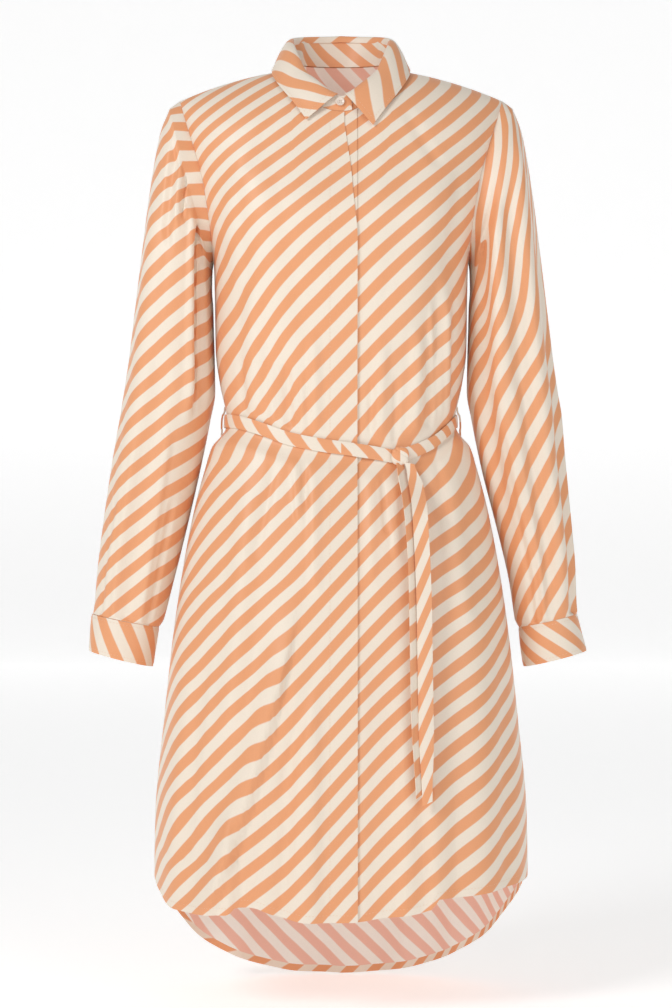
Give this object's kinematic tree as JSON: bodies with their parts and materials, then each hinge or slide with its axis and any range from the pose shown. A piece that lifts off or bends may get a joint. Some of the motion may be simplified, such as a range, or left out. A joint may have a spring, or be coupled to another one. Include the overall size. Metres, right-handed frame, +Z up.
{
  "type": "shirt dress",
  "caption": "Knee-length long-sleeved shirt dress with a pointed collar, hidden-button placket, narrow tie belt and curved high-low hem, in diagonal stripes.",
  "frame": {"origin": "on the centre line between the two neck points of the shoulder seams, where the wearer's shoulders carry the dress", "axes": "+X to the wearer's left, -Y to the front, +Z up"},
  "size_m": [0.5726, 0.3075, 1.1115],
  "materials": {
    "striped_cloth": "soft satin weave",
    "button": "pearly"
  },
  "bodies": {
    "root": {"front_right": "striped_cloth", "front_left": "striped_cloth", "fly_band": "striped_cloth", "back": "striped_cloth", "sleeve_right": "striped_cloth", "sleeve_left": "striped_cloth", "cuff_right": "striped_cloth", "cuff_left": "striped_cloth", "collar_stand": "striped_cloth", "collar": "striped_cloth", "collar_button": "button", "belt": "striped_cloth", "belt_knot": "striped_cloth", "belt_tail_long": "striped_cloth", "belt_tail_short": "striped_cloth", "loop_right": "striped_cloth", "loop_left": "striped_cloth"}
  },
  "joints": []
}
